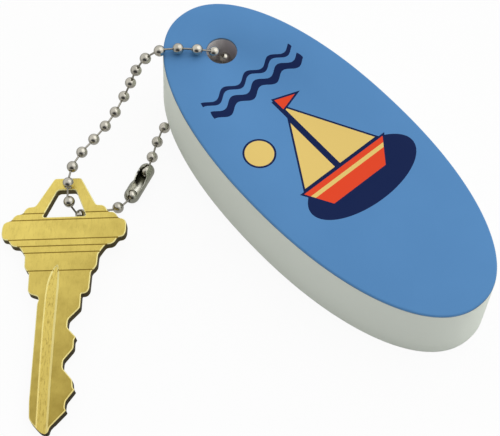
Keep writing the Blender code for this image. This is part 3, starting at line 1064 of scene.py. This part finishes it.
def cutKey():
    s = keySizes
    top, depth, over = s["thickness"], s["fluteDepth"], s["overcut"]
    key = prism("doorKey", keyOutline, 0, top, s["outlineRound"])
    subtract(key, [prism("window", keyWindow, -1, top + 1, s["windowRound"], 4)])
    edge = key.modifiers.new("edge", "BEVEL")
    edge.width = s["edge"] * mm
    edge.segments = 2
    edge.use_clamp_overlap = False
    edge.limit_method = "ANGLE"
    edge.angle_limit = math.radians(s["bevelAngle"])
    finishMesh(key, "doorKey", s["edgeAngle"])
    under = [(x, s["fluteShift"] + y) for x, y in keyFlute]
    front = (keyFlute, top - depth, top + over, s["fluteRound"], 4, keyFluteFloor)
    cutters = [prism("frontFlute", *front)]
    cutters.append(prism("backFlute", under, -over, depth, s["fluteRound"], 4))
    cutters += [grooveCutter(x) for x in keyLines]
    subtract(key, cutters)
    return key


def finishAt(x, z, level):
    f, top = keyFaces, keySizes["thickness"]
    nearLine = any(abs(x - line) < f["lineHalf"] for line in keyLines)
    inLine = nearLine and top - f["lineDeep"] < z < top - f["lineHigh"]
    if inLine and level < f["lineFlat"]:
        return "lineBrass"
    if level > f["flat"]:
        return "milledBrass" if f["milled"] < z < top - f["milled"] else "satinBrass"
    # upright sides get the painted shade, the bevels the polish with a painted highlight
    return "sideBrass" if level < f["upright"] else "brightBrass"


def buildKey():
    key = cutKey()
    for name, finish in brassFinishes.items():
        key.data.materials.append(brassMaterial(name, **finish))
    slots = list(brassFinishes)
    for face in key.data.polygons:
        name = finishAt(face.center.x / mm, face.center.z / mm, abs(face.normal.z))
        face.material_index = slots.index(name)
    key.data.transform(keyAt)
    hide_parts("door_key")
    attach(key, "key")


buildKey()
print("key made")

# Floor, light and background

studio = {
    "floorSize": 4.0,
    "floorTone": (0.86, 0.86, 0.86, 1.0),
    "floorGlow": 0.93,  # share of plain white in what the camera sees of the floor
    "mirrored": (0.5, 0.5, 0.5, 1.0),
    "sky": (0.86, 0.86, 0.86, 1),
    "darkTone": (0.06, 0.06, 0.065, 1),
    "darkWay": (0.56, -0.78, 0.26),
    "darkEdge": (0.55, 0.86),  # cosines of the angle from darkWay
    "lampPlace": (0.12, 0.46, 0.72),
    "lampSize": 1.0,
    "lampPower": 2.1,
}


def buildFloor():
    mesh = bpy.data.meshes.new("floor")
    half = studio["floorSize"] / 2
    corners = [(-half, -half, 0), (half, -half, 0), (half, half, 0), (-half, half, 0)]
    mesh.from_pydata(corners, [], [(0, 1, 2, 3)])
    material, tree, shader = makeMaterial("floor", studio["floorTone"], 0.9)
    path = tree.nodes.new("ShaderNodeLightPath").outputs
    tone = mixColour(tree, path["Is Camera Ray"], studio["mirrored"], white)
    glow = addNode(tree, "ShaderNodeEmission", None, Color=tone, Strength=1.0)
    seen = calc(tree, "MAXIMUM", path["Is Camera Ray"], path["Is Glossy Ray"])
    blend = tree.nodes.new("ShaderNodeMixShader")
    tree.links.new(calc(tree, "MULTIPLY", seen, studio["floorGlow"]), blend.inputs[0])
    tree.links.new(shader.outputs[0], blend.inputs[1])
    tree.links.new(glow.outputs[0], blend.inputs[2])
    tree.links.new(blend.outputs[0], tree.nodes["Material Output"].inputs["Surface"])
    makeObject("floor", mesh, [material])


def buildWorld():
    world = bpy.data.worlds.new("studio")
    bpy.context.scene.world = world
    world.use_nodes = True
    tree = world.node_tree
    back = tree.nodes["Background"]
    way = tree.nodes.new("ShaderNodeTexCoord").outputs["Generated"]
    dark = Vector(studio["darkWay"]).normalized()
    facing = calcVector(tree, "DOT_PRODUCT", way, tuple(dark), output=1)
    shade = remap(tree, facing, *studio["darkEdge"])
    room = mixColour(tree, shade, studio["sky"], studio["darkTone"])
    path = tree.nodes.new("ShaderNodeLightPath").outputs["Is Camera Ray"]
    tree.links.new(mixColour(tree, path, room, white), back.inputs["Color"])
    back.inputs["Strength"].default_value = 1.0


def buildLamp():
    data = bpy.data.lights.new("softBox", "AREA")
    data.size = studio["lampSize"]
    data.energy = studio["lampPower"]
    lamp = bpy.data.objects.new("softBox", data)
    bpy.context.scene.collection.objects.link(lamp)
    lamp.location = studio["lampPlace"]
    lamp.rotation_euler = (-Vector(studio["lampPlace"])).to_track_quat("-Z", "Y").to_euler()


buildFloor()
buildWorld()
buildLamp()
bpy.context.scene.view_settings.view_transform = "Standard"
print("studio made")
